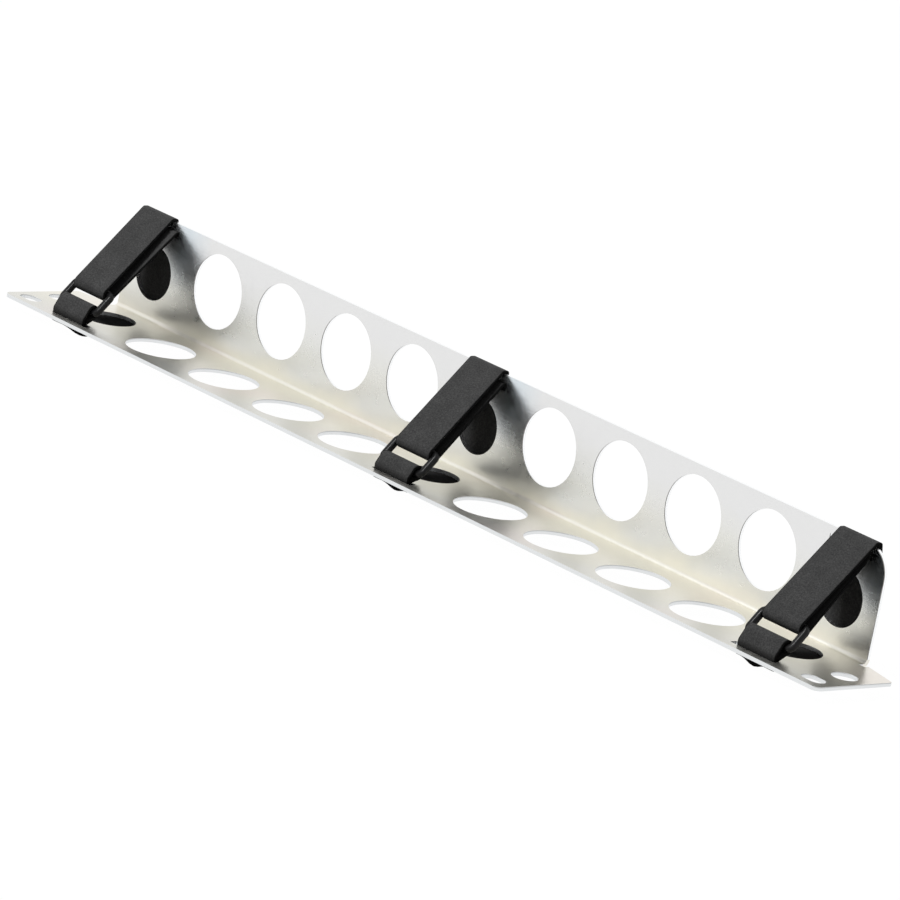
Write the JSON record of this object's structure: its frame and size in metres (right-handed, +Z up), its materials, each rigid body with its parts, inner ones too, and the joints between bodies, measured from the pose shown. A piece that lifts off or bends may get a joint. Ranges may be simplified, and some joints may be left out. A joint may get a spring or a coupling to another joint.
{
  "type": "cable cross bar",
  "caption": "Folded steel cross bar for a 19-inch rack with round lacing holes in both flanges and ringed hook-and-loop straps that hold cables along it.",
  "frame": {"origin": "halfway between the two rack slots of the tabs, on the underside that seats against the rack rails", "axes": "+X along the bar, +Y towards the upright flange, +Z up along the upright flange, out of the rails"},
  "size_m": [0.4826, 0.0472, 0.0485],
  "materials": {
    "zinc_plated_steel": "satin",
    "strap_tape": "matte",
    "ring_plastic": "gloss"
  },
  "bodies": {
    "root": {"crossbar": "zinc_plated_steel", "strap_left": "strap_tape", "strap_middle": "strap_tape", "strap_right": "strap_tape", "ring_left": "ring_plastic", "ring_middle": "ring_plastic", "ring_right": "ring_plastic"}
  },
  "joints": []
}
